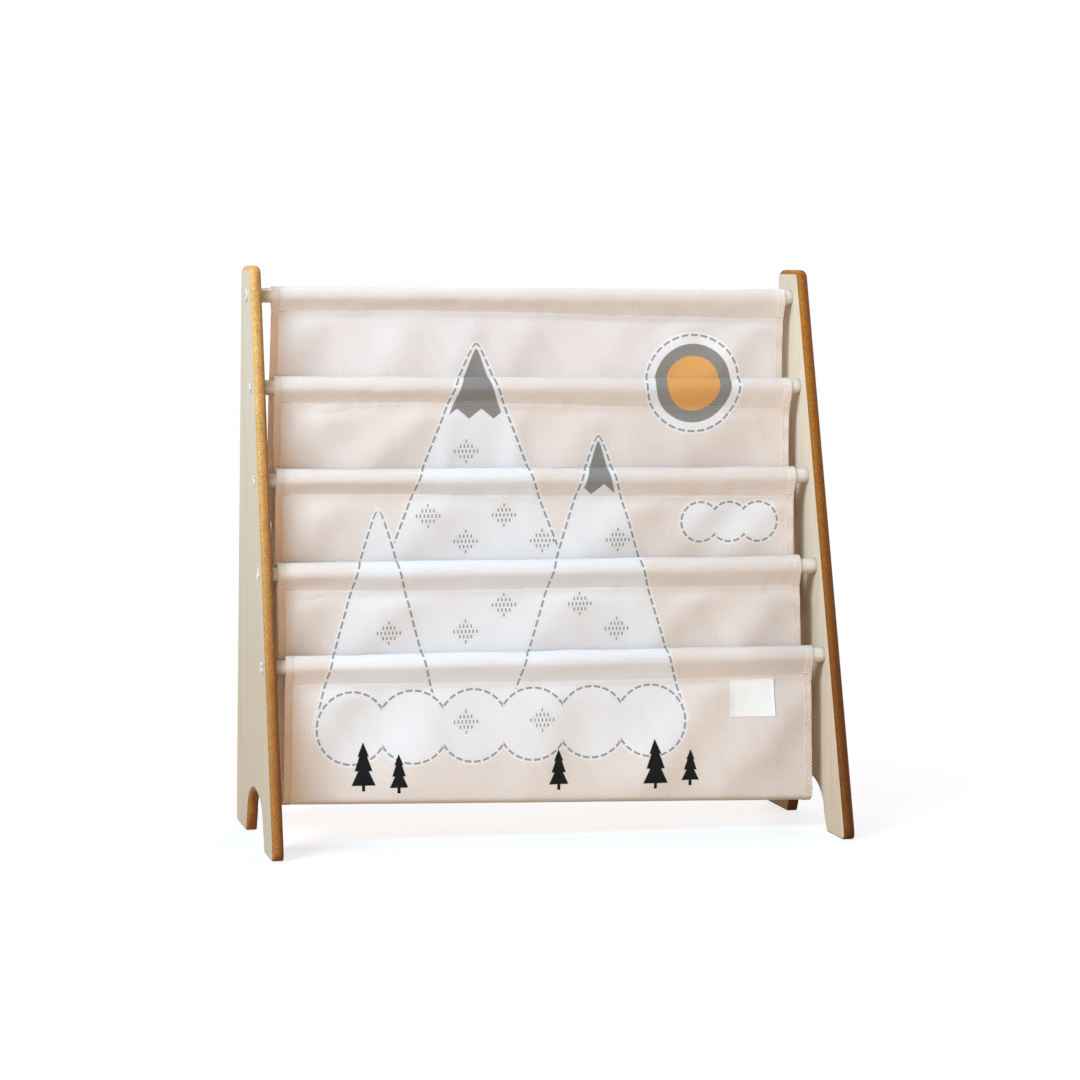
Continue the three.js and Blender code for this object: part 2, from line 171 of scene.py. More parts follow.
# Folds that the weight pulls into the sheets below each rod, millimetres: from (x, z) to (x, z), half width
# and height.
PULLED_FOLDS = [
    [
        (-240, 552, -280, 500, 24, 4.1), (-136, 552, -160, 496, 22, 2.7), (-62, 545, -84, 492, 16, 1.9),
        (0, 545, -30, 496, 22, 2.2), (110, 556, 80, 505, 24, 2.2), (196, 560, 150, 512, 20, 2.7),
        (262, 552, 205, 488, 22, 3.8),
    ],
    [
        (-225, 452, -282, 402, 26, 4.6), (-120, 455, -190, 395, 20, 3.2), (-97, 446, -100, 388, 11, 1.6),
        (-19, 446, -24, 384, 13, 1.9), (70, 450, 30, 392, 24, 2.4), (235, 462, 165, 396, 26, 2.2),
    ],
    [
        (-235, 352, -278, 300, 24, 4.1), (-115, 352, -160, 298, 24, 2.7), (112, 352, 50, 298, 25, 3.0),
        (190, 352, 145, 294, 20, 2.4), (262, 350, 215, 298, 20, 3.2),
    ],
    [
        (-258, 264, -286, 206, 22, 4.6), (-160, 258, -215, 202, 26, 3.2), (20, 255, -25, 203, 26, 2.4),
        (168, 255, 115, 203, 22, 3.0), (262, 255, 215, 203, 20, 3.2),
    ],
    [
        (-232, 166, -276, 88, 26, 4.3), (-120, 150, -165, 76, 28, 2.7), (10, 150, -25, 76, 28, 2.4),
        (168, 152, 105, 68, 26, 4.1), (240, 120, 190, 58, 22, 3.2), (270, 140, 238, 86, 18, 2.4),
    ],
]

# Stitches.
STITCH_LENGTH = 2.6 * MM
STITCH_GAP = 0.9 * MM
STITCH_RADIUS = 0.22 * MM
STITCH_SIDES = 5
STITCH_RINGS = [(0.18, 0.8), (0.5, 1.0), (0.82, 0.8)]
STITCH_RISE = 0.3
SEAM_STITCH_INSET = 1 * MM
SEAM_STITCH_PLACES = 120
HEM_STITCH_INSET = 7 * MM
TACK_LENGTH = 8 * MM
LEFT_TACK = 7.5 * MM
RIGHT_TACK = 11.5 * MM
TACK_HEIGHT = 2.2 * MM
TACK_PITCH = 0.55 * MM
TACK_RADIUS = STITCH_RADIUS * 1.25
TO_FRONT = Vector((0, -1, 0))

# Label.
LABEL_ROWS = 30
LABEL_COLUMNS = 34
LABEL_LIFT = 0.25 * MM
LABEL_THICKNESS = 0.35 * MM
LABEL_ENDS = (0.8 * MM, 0.3 * MM)
LABEL_FOLD = 0.45 * MM
LABEL_FOLD_WIDTH = (2.2 * MM, 3.0 * MM)
LABEL_STITCH_COLUMN = 2
LABEL_RIB = 0.35 * MM
LABEL_CROSS_RIB = 0.5 * MM
LABEL_RELIEF = 0.08 * MM
LABEL_SHARP_ANGLE = math.radians(50)


def rod_axis(level):
    low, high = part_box(f"rod_{level}")
    return (low.y + high.y) / 2, (low.z + high.z) / 2


rods = [rod_axis(level) for level in range(1, 6)]
pocket_count = len(rods) - 1
rod_radius = (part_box("rod_1")[1].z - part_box("rod_1")[0].z) / 2
sleeve_radius = rod_radius + SLEEVE_SLACK
inner_face, outer_face = (corner.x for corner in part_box("side_panel_right"))
cloth_left, cloth_right = (corner.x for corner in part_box("pocket_cloth_1"))
cloth_width = cloth_right - cloth_left - PACKED_SHIFT


def srgb(red, green, blue):
    """A colour of the photograph, 0 to 255, as the linear values that shaders take."""
    shares = [c / 255 for c in (red, green, blue)]
    linear = [c / 12.92 if c <= 0.04045 else ((c + 0.055) / 1.055) ** 2.4 for c in shares]
    return (*linear, 1.0)


def smoothstep(value, start, end):
    t = np.clip((value - start) / (end - start), 0, 1)
    return t * t * (3 - 2 * t)


def hump(distance, reach):
    """1 at no distance, falling off smoothly around the reach."""
    return np.exp(-((distance / reach) ** 2))


def add_object(name, data):
    thing = bpy.data.objects.new(name, data)
    bpy.context.scene.collection.objects.link(thing)
    return thing


# Nodes.
def add_node(tree, kind, inputs=None, **settings):
    """A node with its settings. Its inputs are plain values, sockets or fields."""
    node = tree.nodes.new(kind)
    for name, value in settings.items():
        setattr(node, name, value)
    for key, value in (inputs or {}).items():
        value = getattr(value, "socket", value)
        if isinstance(value, bpy.types.NodeSocket):
            tree.links.new(value, node.inputs[key])
        else:
            node.inputs[key].default_value = value
    return node


class Field:
    """A number or a mask that varies over a surface, written as a sum and built as Math nodes."""

    def __init__(self, socket):
        self.tree = socket.id_data
        self.socket = socket

    def math(self, operation, *others):
        node = add_node(self.tree, "ShaderNodeMath", dict(enumerate((self, *others))), operation=operation)
        return Field(node.outputs[0])

    __add__ = partialmethod(math, "ADD")
    __sub__ = partialmethod(math, "SUBTRACT")
    __mul__ = partialmethod(math, "MULTIPLY")
    __truediv__ = partialmethod(math, "DIVIDE")
    __neg__ = partialmethod(math, "MULTIPLY", -1)
    __abs__ = partialmethod(math, "ABSOLUTE")
    below = partialmethod(math, "LESS_THAN")
    above = partialmethod(math, "GREATER_THAN")
    least = partialmethod(math, "MINIMUM")
    most = partialmethod(math, "MAXIMUM")
    root = partialmethod(math, "SQRT")
    sine = partialmethod(math, "SINE")
    fraction = partialmethod(math, "FRACT")
    angle = partialmethod(math, "ARCTAN2")

    def wrapped(self, period):
        """The place inside its own cell of a row of cells, from minus to plus half a period."""
        return self.math("WRAP", period / 2, -period / 2)

    def cell(self, period):
        """The number of the cell that a place lies in."""
        return (self / period).math("ROUND")

    def ramp(self, start, end):
        """0 up to start, 1 from end, smooth between them."""
        limits = {"Value": self, "From Min": start, "From Max": end}
        node = add_node(self.tree, "ShaderNodeMapRange", limits, interpolation_type="SMOOTHSTEP")
        return Field(node.outputs["Result"])

    def choose(self, off, on):
        """off where this field is 0 and on where it is 1."""
        return self * (on - off) + off

    def mix(self, low, high):
        """The colour low where this field is 0 and high where it is 1."""
        node = add_node(self.tree, "ShaderNodeMix", {"Factor": self, 6: low, 7: high}, data_type="RGBA")
        return node.outputs[2]

    def tint(self, colour, tint):
        """The colour itself where this field is 0 and times the tint where it is 1."""
        return self.mix(colour, multiplied(colour, tint))


def multiplied(colour, tint):
    settings = {"data_type": "RGBA", "blend_type": "MULTIPLY", "clamp_result": True}
    inputs = {"Factor": 1, 6: colour, 7: tint}
    return add_node(colour.id_data, "ShaderNodeMix", inputs, **settings).outputs[2]


def length(x, y):
    """The length of a step across and up."""
    return (x * x + y * y).root()


def parts_of(place):
    split = add_node(place.id_data, "ShaderNodeSeparateXYZ", {0: place})
    return [Field(part) for part in split.outputs]


def object_place(tree, stretch=(1, 1, 1)):
    """The place in the row frame, stretched, as a vector socket."""
    place = add_node(tree, "ShaderNodeTexCoord").outputs["Object"]
    return add_node(tree, "ShaderNodeVectorMath", {0: place, 1: stretch}, operation="MULTIPLY").outputs[0]


def map_place(tree, name):
    return add_node(tree, "ShaderNodeUVMap", uv_map=name).outputs[0]


def noise_field(place, scale, detail=3, roughness=0.5):
    inputs = {"Scale": scale, "Detail": detail, "Roughness": roughness, "Vector": place}
    return Field(add_node(place.id_data, "ShaderNodeTexNoise", inputs).outputs["Fac"])


def stretched_noise(tree, stretch, detail=3, roughness=0.5):
    """Noise of so many cells to a metre along each axis."""
    return noise_field(object_place(tree, stretch), 1, detail, roughness)


def new_material(name, specular, **finish):
    """A material, its node tree, and its shader with the values of its finish."""
    material = bpy.data.materials.new(name)
    material.use_nodes = True
    shader = material.node_tree.nodes["Principled BSDF"]
    for key, value in {"Specular IOR Level": specular, **finish}.items():
        shader.inputs[key].default_value = value
    return material, material.node_tree, shader


def surface(tree, shader, colour, height, relief, strength):
    """Gives a shader its colour and its relief, and returns the relief's normal."""
    tree.links.new(colour, shader.inputs["Base Color"])
    bump = add_node(tree, "ShaderNodeBump", {"Distance": relief, "Strength": strength, "Height": height})
    tree.links.new(bump.outputs["Normal"], shader.inputs["Normal"])
    return bump.outputs["Normal"]


def blend_shaders(tree, share, first, second, output):
    mix = add_node(tree, "ShaderNodeMixShader", {0: share, 1: first.outputs[0], 2: second.outputs[0]})
    tree.links.new(mix.outputs[0], output.inputs["Surface"])


def seen_directly(tree):
    """1 for the camera and in reflections, 0 where light bounces."""
    path = add_node(tree, "ShaderNodeLightPath")
    return Field(path.outputs["Is Camera Ray"]).most(Field(path.outputs["Is Glossy Ray"]))


# Camera, lamps, background and floor.
def add_camera():
    data = bpy.data.cameras.new("camera")
    data.sensor_width = SENSOR_WIDTH
    data.lens = FOCAL_PIXELS / IMAGE_SIZE * SENSOR_WIDTH
    data.shift_y = (OPTICAL_AXIS_Y - IMAGE_SIZE / 2) / IMAGE_SIZE
    turned = Matrix.Translation(CAMERA_PLACE)
    for angle, axis in ((-CAMERA_YAW, "Z"), (math.pi / 2 - CAMERA_PITCH, "X"), (-CAMERA_ROLL, "Z")):
        turned @= Matrix.Rotation(angle, 4, axis)
    camera = add_object("camera", data)
    camera.matrix_world = turned
    bpy.context.scene.camera = camera


def add_lamps():
    for name, (place, width, power, colour) in LAMPS.items():
        data = bpy.data.lights.new(name, "AREA")
        data.shape = "DISK"
        data.size = width
        data.energy = power
        data.color = colour
        turn = (Vector(place) - LAMP_AIM).to_track_quat("Z", "Y").to_matrix().to_4x4()
        add_object(name, data).matrix_world = Matrix.Translation(place) @ turn


def add_world():
    world = bpy.data.worlds.new("studio")
    bpy.context.scene.world = world
    world.use_nodes = True
    tree = world.node_tree
    tree.nodes.clear()
    ambient = add_node(tree, "ShaderNodeBackground", {"Color": AMBIENT_COLOUR, "Strength": AMBIENT_STRENGTH})
    white = add_node(tree, "ShaderNodeBackground", {"Color": WHITE, "Strength": 1})
    blend_shaders(tree, seen_directly(tree), ambient, white, add_node(tree, "ShaderNodeOutputWorld"))


def add_floor():
    """A white floor that fades into the background and keeps a soft shadow under the shelf."""
    mesh = bpy.data.meshes.new("floor")
    corners = [(x * FLOOR_REACH, y * FLOOR_REACH, 0) for x, y in ((-1, -1), (1, -1), (1, 1), (-1, 1))]
    mesh.from_pydata(corners, [], [(0, 1, 2, 3)])
    floor = add_object("floor", mesh)
    material = bpy.data.materials.new("floor")
    material.use_nodes = True
    tree = material.node_tree
    tree.nodes.clear()
    seen = seen_directly(tree)
    paint = add_node(tree, "ShaderNodeBsdfDiffuse", {"Color": seen.mix(FLOOR_BOUNCE, FLOOR_WHITE)})
    glow = add_node(tree, "ShaderNodeEmission", {"Strength": 1})
    place = add_node(tree, "ShaderNodeNewGeometry").outputs["Position"]
    reach = add_node(tree, "ShaderNodeVectorMath", {0: place}, operation="LENGTH").outputs["Value"]
    share = Field(reach).ramp(*FLOOR_FADE).choose(FLOOR_GLOW_SHARE, 1) * seen
    blend_shaders(tree, share, paint, glow, add_node(tree, "ShaderNodeOutputMaterial"))
    mesh.materials.append(material)


# Materials of the frame.
def rod_distance(y, z):
    """Distance from the nearest rod's axis."""
    return reduce(Field.least, [length(y - rod_y, z - rod_z) for rod_y, rod_z in rods])


def panel_material():
    """Whitewashed faces with a faint upright grain, and bare honey-coloured fibreboard on the edges."""
    material, tree, shader = new_material("whitewashed_board", 0.12)
    place = object_place(tree)
    x, y, z = parts_of(place)
    to_right = x.above(0)
    upper = z.ramp(*PANEL_RISE)
    sideways = abs(x)
    depth = (sideways - inner_face).least(-(sideways - outer_face))
    waver = (noise_field(place, 900, 2) - 0.5) * BARE_EDGE_WAVER
    edge = (depth + waver).ramp(*BARE_EDGE)
    bend = stretched_noise(tree, (1, 9, 2.6), 2) * 0.05
    rings = stretched_noise(tree, (1, 34, 2.4), 2, 0.45)
    cathedral = ((rings + bend) * 60).sine() * 0.5 + 0.5
    grain = stretched_noise(tree, (1, 260, 7), 5, 0.62)
    pores = stretched_noise(tree, (1, 900, 28), 2).ramp(0.62, 0.74)
    wash = grain.ramp(0.3, 0.72).mix(srgb(210, 191, 165), srgb(225, 207, 185))
    wash = (cathedral * 0.5).mix(wash, srgb(216, 193, 167))
    wash = (pores * 0.45).mix(wash, srgb(186, 163, 133))
    # Painted shade: the whitewashed faces darken towards the feet.
    wash = upper.mix(multiplied(wash, (0.85, 0.79, 0.75, 1)), wash)
    around = (rod_distance(y, z) - rod_radius).ramp(*SOCKET_SHADE)
    around = around * (sideways - inner_face).below(SOCKET_SHADE_DEPTH)
    wash = (around * 0.45).mix(wash, srgb(96, 74, 52))
    fibres = noise_field(place, 1300, 2, 0.6)
    speck = fibres.ramp(0.42, 0.6)
    # The speckle is the fibreboard's own. The left panel's edges lighter than the right panel's, and both
    # darker towards the feet, are painted light and shade.
    left_low = speck.mix(srgb(116, 66, 21), srgb(154, 98, 45))
    left_high = speck.mix(srgb(162, 111, 57), srgb(211, 164, 101))
    right_low = speck.mix(srgb(73, 33, 2), srgb(100, 50, 7))
    right_high = speck.mix(srgb(113, 62, 11), srgb(158, 96, 26))
    board = to_right.mix(upper.mix(left_low, left_high), upper.mix(right_low, right_high))
    cloudy = noise_field(place, 70, 3, 0.55)
    board = (cloudy.ramp(0.4, 0.75) * 0.25).mix(board, srgb(104, 62, 18))
    from_right = x - to_right.choose(-inner_face, outer_face)
    board = from_right.ramp(*LIT_EDGE).tint(board, (1.3, 1.5, 1.6, 1))
    board = (from_right.ramp(*SHADED_EDGE) * 0.62).tint(board, (0.5, 0.42, 0.3, 1))
    grit = noise_field(place, 480, 2, 0.7)
    board = (grit.ramp(0.52, 0.36) * to_right.choose(0.35, 0.5)).tint(board, (0.6, 0.5, 0.4, 1))
    board = (grit.ramp(0.5, 0.64) * to_right.choose(0.2, 0.55)).tint(board, (1.4, 1.45, 1.6, 1))
    tree.links.new((edge * -0.1 + 0.68 + grain * 0.06).socket, shader.inputs["Roughness"])
    height = (grain + pores * -0.8) * (-edge + 1) + fibres * edge * 0.5
    surface(tree, shader, edge.mix(wash, board), height, BOARD_RELIEF, 0.5)
    return material


def rod_material():
    """Off-white satin paint over turned wood, with painted shade near the sockets, at the left ends and over
    the right half.
    """
    material, tree, shader = new_material("painted_rod", 0.45, Roughness=0.42)
    x = parts_of(object_place(tree))[0]
    grain = stretched_noise(tree, (5, 500, 500), 4, 0.6)
    patches = stretched_noise(tree, (30, 60, 60))
    paint = grain.ramp(0.3, 0.7).mix(srgb(212, 206, 194), srgb(228, 223, 211))
    paint = (patches.ramp(0.5, 0.8) * 0.4).mix(paint, srgb(212, 204, 186))
    near_socket = (abs(x) - inner_face).ramp(-ROD_END_SHADE, 0) * x.below(0).choose(0.25, 0.6)
    paint = near_socket.mix(paint, srgb(92, 80, 66))
    # Painted shade over the rods' left ends, in patches.
    left_end_shade = (x + inner_face).ramp(*ROD_LEFT_SHADE) * patches.ramp(0.3, 0.6).choose(0.45, 0.75)
    # Painted shade: the right half of each rod, with its stub, is darker.
    paint = x.above(0).tint(left_end_shade.mix(paint, srgb(136, 120, 102)), (0.8, 0.79, 0.8, 1))
    surface(tree, shader, paint, grain, ROD_RELIEF, 0.5)
    return material


def steel_material():
    """Zinc plate with fine turning marks and tarnish."""
    material, tree, shader = new_material("zinc_plate", 0.6, Metallic=0.55)
    marks = stretched_noise(tree, (60, 900, 900))
    tarnish = stretched_noise(tree, (300, 300, 300), 2, 0.6).ramp(0.52, 0.62)
    colour = marks.mix(srgb(220, 212, 206), srgb(238, 231, 226))
    colour = (tarnish * 0.8).mix(colour, srgb(150, 138, 128))
    tree.links.new((marks * 0.2 + 0.38).socket, shader.inputs["Roughness"])
    surface(tree, shader, colour, marks, STEEL_RELIEF, 0.4)
    return material


def brass_material():
    """Plain turned brass."""
    material, tree, shader = new_material("brass", 0.5, Roughness=0.35, Metallic=1)
    marks = stretched_noise(tree, (1200, 60, 60), 2)
    surface(tree, shader, marks.mix(srgb(176, 146, 84), srgb(208, 182, 118)), marks, BRASS_RELIEF, 0.4)
    return material


# Cloth materials.
FABRIC = srgb(244, 234, 228)
FABRIC_SHADE = srgb(240, 229, 221)
WORN_TINT = srgb(226, 216, 208)
THROUGH_TINT = (1.12, 1.22, 1.27, 1)
# Hem tints: the doubled cloth's own darker, warmer tone, made far stronger at the left hems as painted shade.
HEM_TINT = (0.96, 0.94, 0.92, 1)
HEM_THROUGH_TINT = (1, 0.8, 0.64, 1)
STITCHED_TINT = (0.95, 0.88, 0.81, 1)
# Painted shade in the troughs of the hems' puckers.
PUCKER_SHADE = (0.86, 0.8, 0.74, 1)
# Painted light: a cooler tone over the top sheet.
TOP_SHEET_TINT = (0.95, 0.975, 1.01, 1)
# Painted shade towards the lower right of the sling.
LOW_CORNER_SHADE = (0.92, 0.92, 0.925, 1)
CLOTH_SHEEN = {"Sheen Weight": 0.12, "Sheen Roughness": 0.5}
LABEL_SHEEN = {"Sheen Weight": 0.15}
SHEET_TRANSLUCENCY = 0.4
HEM_TRANSLUCENCY = 0.33
HEM_ATTRIBUTE = "hem_share"
SLEEVE_HEM_SHARE = 0.3
STITCHED_BAND = (2.4 * MM, 0.2 * MM)
TOP_SHEET_START = (488 * MM, 496 * MM)
TOP_SHEET_END = (566 * MM, 552 * MM)
LOW_CORNER_RISE = (330 * MM, 220 * MM)
LOW_CORNER_SIDE = (200 * MM, 270 * MM)
PUCKER_PITCH = 4.6 * MM
PUCKER_LEAN = -1.1
YARN_PITCH = 0.55 * MM
WEAVE_RELIEF = 0.1 * MM
THREAD_RELIEF = 0.05 * MM
PRINT_MAP = "print"
WEAVE_MAP = "weave"

# Print: mountains with dashed outlines and grey caps, a ringed sun, banks of cloud, pines and tufts of
# dashes. Millimetres across the shelf from its middle, and above the floor. A mountain is (apex x, apex z,
# half its base, depth of its cap), a bank of cloud (first lobe's x and z, lobe radius, pitch, lobes), and a
# pine (foot x and z, half its width, height).
INK_WHITE = srgb(247, 247, 250)
INK_GREY = srgb(158, 155, 151)
INK_DASH = srgb(166, 161, 155)
INK_TAN = srgb(238, 182, 112)
INK_BLACK = srgb(24, 23, 22)
PRINT_SOFTNESS = 0.35
MOUNTAINS = [(-74, 530, 165, 84), (62, 430, 100, 66), (-180, 352, 68, 0)]
MOUNTAIN_BASE = 105
MOUNTAIN_CUT = 116
APEX_ROUND = 9
HIGH_CLOUD = (178, 332, 25, 33, 3)
LOW_CLOUD = (-208, 116, 42, 66, 6)
SUN = (168, 484)
SUN_RADIUS = 30
SUN_RING = 13
SUN_HALO = 13
SUN_RAYS = 30
SUN_RAY_SHARE = 0.72
DASH_LENGTH = 8.0
DASH_PERIOD = DASH_LENGTH + 3.0
DASH_HALF_WIDTH = 1.1
OUTLINE_INSET = 3.4
CAP_INSET = 9
CAP_TOOTH = 11
CAP_PITCH = 27
PINES = [(-196, 55, 13, 46), (-158, 52, 10, 36), (18, 50, 11, 38), (126, 48, 14, 48), (166, 50, 10, 34)]
PINE_TIERS = 3
PINE_TAPER = 0.26
TIER_TOP = 0.45
TRUNK_HALF_WIDTH = 1.7
TRUNK_LENGTH = 6
TUFT_BAND = 97
TUFT_MIDDLE = 328
TUFT_OFFSET = 14
TUFT_PITCH = 84
TUFT_SIZE = 15
TUFT_SQUASH = 1.15
TUFT_DASH_PITCH = (4.2, 5.6)
TUFT_DASH_HALF = (0.85, 1.9)
TUFT_SOFTNESS = 0.2
TUFT_MARGIN = 16


def soft_inside(distance, softness=PRINT_SOFTNESS):
    """1 where a signed distance is negative, with a soft edge."""
    return distance.ramp(softness, -softness)


def outline(distance):
    """1 on a line as wide as a dash, along distance 0."""
    return abs(distance).ramp(DASH_HALF_WIDTH + PRINT_SOFTNESS, DASH_HALF_WIDTH - PRINT_SOFTNESS)


def dashes(place, share=DASH_LENGTH / DASH_PERIOD):
    """1 over the first share of each unit of a place."""
    return place.fraction().below(share)


def mountain_field(x, z, shape):
    """Signed distance from a mountain's outline, negative inside, and whether a dash lies at that height."""
    apex_x, apex_z, half_base, _ = shape
    spread = half_base / (apex_z - MOUNTAIN_BASE)
    slant = math.hypot(1, spread)
    aside = x - apex_x
    rounded = (aside * aside + APEX_ROUND ** 2).root()
    lean = aside / rounded
    steepness = (lean * lean + spread ** 2).root()
    distance = ((rounded - APEX_ROUND + (z - apex_z) * spread) / steepness).most(-(z - MOUNTAIN_CUT))
    return distance, dashes(z * (slant / DASH_PERIOD))


def cloud_field(x, z, shape):
    """The same for a bank of round lobes."""
    first_x, lobe_z, radius, pitch, lobes = shape
    lobe = (x - first_x).cell(pitch).most(0).least(lobes - 1)
    aside = x - first_x - lobe * pitch
    up = z - lobe_z
    count = round(math.tau * radius / DASH_PERIOD)
    return length(aside, up) - radius, dashes(up.angle(aside) * (count / math.tau))


def print_shapes(x, z):
    """The white shapes from the back to the front: distance, dashes, and the height where a cap starts."""
    shapes = [(*cloud_field(x, z, HIGH_CLOUD), None)]
    for mountain in MOUNTAINS:
        _, apex_z, _, cap = mountain
        shapes.append((*mountain_field(x, z, mountain), apex_z - cap if cap else None))
    shapes.append((*cloud_field(x, z, LOW_CLOUD), None))
    return shapes


def print_sun(x, z, colour):
    aside, up = x - SUN[0], z - SUN[1]
    reach = length(aside, up) - SUN_RADIUS
    colour = soft_inside(reach - SUN_RING - SUN_HALO).mix(colour, INK_WHITE)
    colour = soft_inside(reach - SUN_RING).mix(colour, INK_GREY)
    colour = soft_inside(reach).mix(colour, INK_TAN)
    rays = dashes(up.angle(aside) * (SUN_RAYS / math.tau), SUN_RAY_SHARE)
    return (outline(reach - SUN_RING - SUN_HALO + OUTLINE_INSET) * rays).mix(colour, INK_DASH)


def print_tufts(x, z, colour):
    """Two staggered rows of tufts between each two rods, on the white shapes and clear of their outlines."""
    band = (z - TUFT_MIDDLE).wrapped(TUFT_BAND)
    high = band.above(0)
    in_x = (x + high * (TUFT_PITCH / 2)).wrapped(TUFT_PITCH)
    in_z = band - high.choose(-1, 1) * TUFT_OFFSET
    centre_z = z - in_z
    clear = None
    for distance, _, cap_z in print_shapes(x - in_x, centre_z):
        inside = distance.below(-TUFT_MARGIN)
        if cap_z is not None:
            inside = inside * centre_z.below(cap_z - TUFT_SIZE)
        clear = inside if clear is None else (clear * distance.above(TUFT_MARGIN)).most(inside)
    (pitch_x, pitch_z), (half_x, half_z) = TUFT_DASH_PITCH, TUFT_DASH_HALF
    staggered = in_x + abs(in_z.cell(pitch_z).wrapped(2)) * (pitch_x / 2)
    mark = soft_inside(abs(staggered.wrapped(pitch_x)) - half_x, TUFT_SOFTNESS)
    mark = mark * soft_inside(abs(in_z.wrapped(pitch_z)) - half_z, TUFT_SOFTNESS)
    diamond = (abs(in_x) + abs(in_z) * TUFT_SQUASH).below(TUFT_SIZE)
    return (mark * diamond * clear).mix(colour, INK_DASH)


def print_pine(x, z, colour, pine):
    """A pine of three tiers on a short trunk."""
    foot_x, foot_z, half_width, height = pine
    aside = abs(x - foot_x)
    rise = (z - foot_z) / height
    tier = (rise * PINE_TIERS).math("FLOOR").least(PINE_TIERS - 1)
    within = rise * PINE_TIERS - tier
    top = tier.below(PINE_TIERS - 1.5).choose(0, TIER_TOP)
    half = (tier * -PINE_TAPER + 1) * half_width * (within * (top - 1) + 1)
    colour = (soft_inside(aside - half) * rise.above(0) * rise.below(1)).mix(colour, INK_BLACK)
    trunk = aside.below(TRUNK_HALF_WIDTH) * (z - foot_z + TRUNK_LENGTH).above(0) * rise.below(0.1)
    return trunk.mix(colour, INK_BLACK)


def print_colour(x, z, ground):
    """The printed picture over the cloth's own colour."""
    colour = print_sun(x, z, ground)
    tooth = abs(x.wrapped(CAP_PITCH)) * (2 * CAP_TOOTH / CAP_PITCH)
    for distance, dash, cap_z in print_shapes(x, z):
        colour = soft_inside(distance).mix(colour, INK_WHITE)
        colour = (outline(distance + OUTLINE_INSET) * dash).mix(colour, INK_DASH)
        if cap_z is not None:
            cap = soft_inside(-(z - tooth - cap_z)) * soft_inside(distance + CAP_INSET)
            colour = cap.mix(colour, INK_GREY)
    colour = print_tufts(x, z, colour)
    for pine in PINES:
        colour = print_pine(x, z, colour, pine)
    return colour


def ripples(place, pitch):
    """Even waves, a pitch long, from -1 to 1."""
    return (place * (math.tau / pitch)).sine()


def cloth_material(name, printed):
    """Plain-woven canvas, with or without the print. The doubled hems are puckered, and let less light by."""
    material, tree, shader = new_material(name, 0.2, Roughness=0.86, **CLOTH_SHEEN)
    cloth_place = map_place(tree, WEAVE_MAP)
    across, along, _ = parts_of(cloth_place)
    to_right = across.above(0)
    weave = ripples(across, YARN_PITCH) * ripples(along, YARN_PITCH) * 0.5 + 0.5
    slub = noise_field(cloth_place, 420, 4, 0.65)
    mottle = noise_field(cloth_place, 26)
    from_side = abs(across) - (cloth_width / 2 - HEM_WIDTH)
    doubled = add_node(tree, "ShaderNodeAttribute", attribute_name=HEM_ATTRIBUTE)
    hem = from_side.ramp(-HEM_STEP, HEM_STEP) * Field(doubled.outputs["Fac"])
    stitched = hem * (from_side - (HEM_WIDTH - HEM_STITCH_INSET)).ramp(*STITCHED_BAND)
    z = parts_of(object_place(tree))[2]
    # Painted light: the top sheet is cooler in tone than the rest of the cloth.
    top_sheet = z.ramp(*TOP_SHEET_START) * z.ramp(*TOP_SHEET_END)
    # Painted shade: the cloth darkens towards the lower right of the sling.
    low_corner = z.ramp(*LOW_CORNER_RISE) * across.ramp(*LOW_CORNER_SIDE)
    ground = (mottle.ramp(0.3, 0.75) * 0.5).mix(FABRIC, FABRIC_SHADE)
    ground = low_corner.tint(top_sheet.tint(ground, TOP_SHEET_TINT), LOW_CORNER_SHADE)
    if printed:
        print_x, print_z, _ = parts_of(map_place(tree, PRINT_MAP))
        ground = print_colour(print_x / MM, print_z / MM, ground)
    colour = (slub.ramp(0.35, 0.8) * 0.35 + weave * 0.12).tint(ground, WORN_TINT)
    passed = multiplied(colour, THROUGH_TINT)
    # The doubled hems and their stitched bands are darker and warmer and let through warmer light, as doubled
    # cloth does; far more so at the left than the right, which is painted shade.
    passed = (hem * to_right.choose(1, 0.3)).tint(passed, HEM_THROUGH_TINT)
    colour = (hem * to_right.choose(1, 0.1)).tint(colour, HEM_TINT)
    colour = (stitched * to_right.choose(1, 0.6)).tint(colour, STITCHED_TINT)
    strain = noise_field(cloth_place, 60, 2)
    folds = ((across * PUCKER_LEAN + along) * (math.tau / PUCKER_PITCH) + strain * 9).sine()
    puckers = hem * strain.ramp(0.3, 0.65) * to_right.choose(0.45, 1)
    # Painted shade in the troughs of the puckers; their relief comes from the bump below.
    colour = (puckers * folds.ramp(0, -1) * 0.8).tint(colour, PUCKER_SHADE)
    normal = surface(tree, shader, colour, weave + slub * 0.6 + folds * puckers * 8.0, WEAVE_RELIEF, 0.45)
    through = add_node(tree, "ShaderNodeBsdfTranslucent", {"Color": passed, "Normal": normal})
    share = hem.choose(SHEET_TRANSLUCENCY, HEM_TRANSLUCENCY)
    blend_shaders(tree, share, shader, through, tree.nodes["Material Output"])
    return material


def thread_material(name, light, dark):
    """Twisted sewing thread."""
    material, tree, shader = new_material(name, 0.3, Roughness=0.7)
    twist = noise_field(object_place(tree), 3500, 2)
    surface(tree, shader, twist.mix(light, dark), twist, THREAD_RELIEF, 0.4)
    return material


